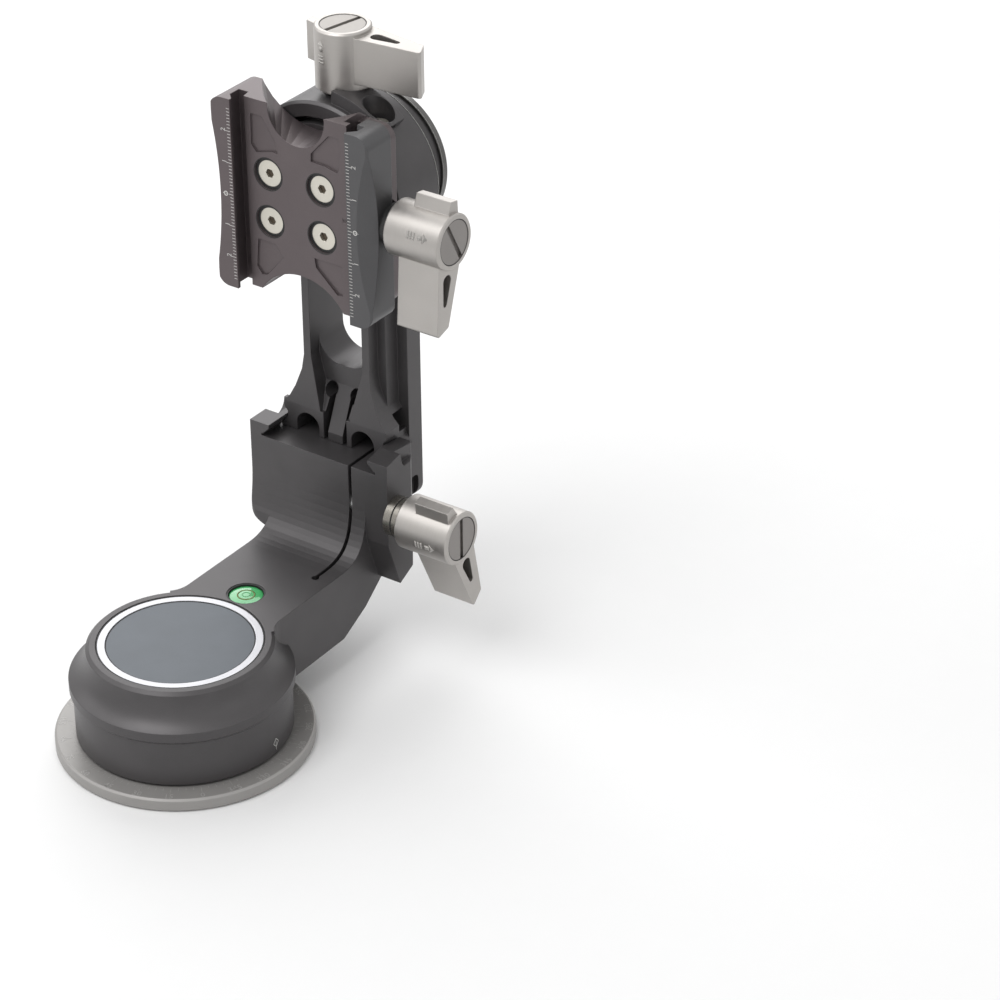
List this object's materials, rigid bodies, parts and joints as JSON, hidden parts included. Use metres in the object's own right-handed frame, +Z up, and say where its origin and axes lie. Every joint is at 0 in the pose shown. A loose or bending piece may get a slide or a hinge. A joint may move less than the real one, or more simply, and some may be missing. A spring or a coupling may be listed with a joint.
{
  "type": "gimbal tripod head",
  "caption": "Side-mount gimbal tripod head: pan base, swing arm with dovetail receiver, sliding upright and a tilting lens clamp with quick levers.",
  "frame": {"origin": "centre of the tripod thread at the underside of the base disc, on the pan axis", "axes": "+Z up along the pan axis; +Y along the swing arm towards the upright; the lens clamp opens towards -Y; +X towards the levers"},
  "size_m": [0.0908, 0.1433, 0.1954],
  "materials": {
    "dark_anodised": "satin warm dark grey anodising",
    "plate_anodised": "satin purple-grey anodising",
    "titanium_grey": "fine turned, titanium grey",
    "titanium_grey_alloy": "fine brushed, titanium grey",
    "steel": "ground",
    "nickel": "satin nickel plate",
    "bright_ring": "bright turned",
    "cap_film": "matt blue-grey",
    "black_plastic": "matt black",
    "level_green": "clear over green liquid",
    "nylon": "natural nylon",
    "bronze": "plain bronze"
  },
  "bodies": {
    "base": {"base_disc": "titanium_grey", "thread_bush": "steel", "pan_spindle": "steel", "disc_screws": "nickel", "pan_lower_inner_race": "steel", "pan_lower_balls": "steel", "pan_upper_inner_race": "steel", "pan_upper_balls": "steel", "race_spacer": "steel", "spindle_nut": "steel"},
    "pan": {"swing_arm": "dark_anodised", "pan_lower_outer_race": "steel", "pan_upper_outer_race": "steel", "cap_ring": "bright_ring", "cap_disc": "cap_film", "level_cup": "black_plastic", "level_vial": "level_green", "pan_lock_pad": "nylon", "receiver_washer": "nickel"},
    "pan_lock": {"pan_knob": "titanium_grey_alloy", "pan_lock_screw": "steel"},
    "receiver_lock": {"receiver_lever": "titanium_grey_alloy", "receiver_lever_cap": "titanium_grey_alloy", "receiver_stud": "steel", "receiver_collar": "nickel"},
    "upright": {"vertical_arm": "dark_anodised", "tilt_front_outer_race": "steel", "tilt_rear_outer_race": "steel", "tilt_brake_shoe": "bronze", "bearing_screw": "nickel", "tilt_lever_neck": "dark_anodised"},
    "tilt_lock": {"tilt_lever": "titanium_grey_alloy", "tilt_lever_cap": "titanium_grey_alloy", "tilt_stud": "steel"},
    "rotor": {"tilt_hub": "dark_anodised", "tilt_front_inner_race": "steel", "tilt_front_balls": "steel", "tilt_rear_inner_race": "steel", "tilt_rear_balls": "steel", "tilt_collar": "dark_anodised", "tilt_disc": "titanium_grey_alloy", "tilt_disc_screws": "nickel", "clamp_body": "plate_anodised", "clamp_screws": "nickel", "jaw_guide_pins": "steel", "jaw_springs": "steel"},
    "jaw": {"movable_jaw": "plate_anodised", "lens_washer": "nickel"},
    "lens_lock": {"lens_lever": "titanium_grey_alloy", "lens_lever_cap": "titanium_grey_alloy", "lens_stud": "steel"}
  },
  "joints": [
    {"name": "pan_turn", "type": "hinge", "parent": "base", "child": "pan", "pos_m": [0, 0, 0], "axis": [0, 0, 1], "continuous": true},
    {"name": "pan_lock_turn", "type": "hinge", "parent": "pan", "child": "pan_lock", "pos_m": [0, 0, 0.0115], "axis": [-0.866, 0.5, 0], "range_deg": [-180, 0]},
    {"name": "receiver_lever_turn", "type": "hinge", "parent": "pan", "child": "receiver_lock", "pos_m": [0, 0.071, 0.049], "axis": [1, 0, 0], "range_deg": [-120, 30]},
    {"name": "upright_slide", "type": "slide", "parent": "pan", "child": "upright", "axis": [0, 1, 0], "range_m": [-0.0015, 0.006]},
    {"name": "tilt_lever_turn", "type": "hinge", "parent": "upright", "child": "tilt_lock", "pos_m": [0, 0.0865, 0.18], "axis": [0, 0, 1], "range_deg": [0, 75]},
    {"name": "tilt_turn", "type": "hinge", "parent": "upright", "child": "rotor", "pos_m": [0, 0.0865, 0.148], "axis": [0, 1, 0], "continuous": true},
    {"name": "jaw_slide", "type": "slide", "parent": "rotor", "child": "jaw", "axis": [1, 0, 0], "range_m": [-0.004, 0], "deforming": ["jaw_springs"]},
    {"name": "lens_lever_turn", "type": "hinge", "parent": "jaw", "child": "lens_lock", "pos_m": [0, 0.068, 0.148], "axis": [1, 0, 0], "range_deg": [-720, 0]}
  ],
  "couplings": [
    {"joint": "lens_lever_turn", "follows": "jaw_slide", "rad_per_m": 3141.5}
  ]
}
